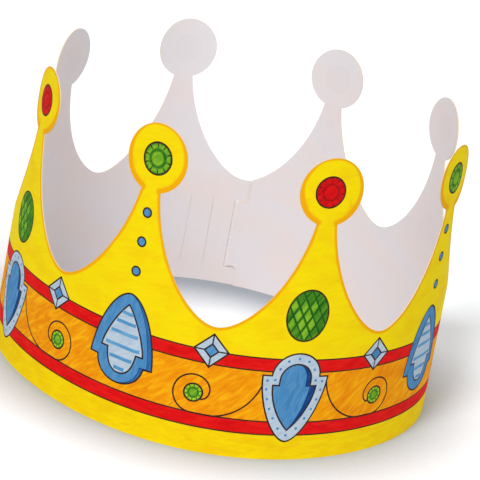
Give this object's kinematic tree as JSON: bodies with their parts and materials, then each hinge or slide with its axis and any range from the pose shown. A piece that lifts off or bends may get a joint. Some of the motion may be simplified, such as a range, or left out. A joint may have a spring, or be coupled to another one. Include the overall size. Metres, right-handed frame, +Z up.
{
  "type": "paper crown",
  "caption": "Ring of printed card cut into tall spikes with round buttons on their tips, closed at the back by a tab in a slit; worn on the head.",
  "frame": {"origin": "middle of the ring, in the plane that the lower edge rests on", "axes": "+Z up to the tips of the spikes; -Y is the middle of the front, where a valley between two spikes is; the closure is at +Y"},
  "size_m": [0.1827, 0.1833, 0.1216],
  "materials": {
    "card": "matt card, printed outside, white inside"
  },
  "bodies": {
    "root": {"crown_band": "card"}
  },
  "joints": []
}
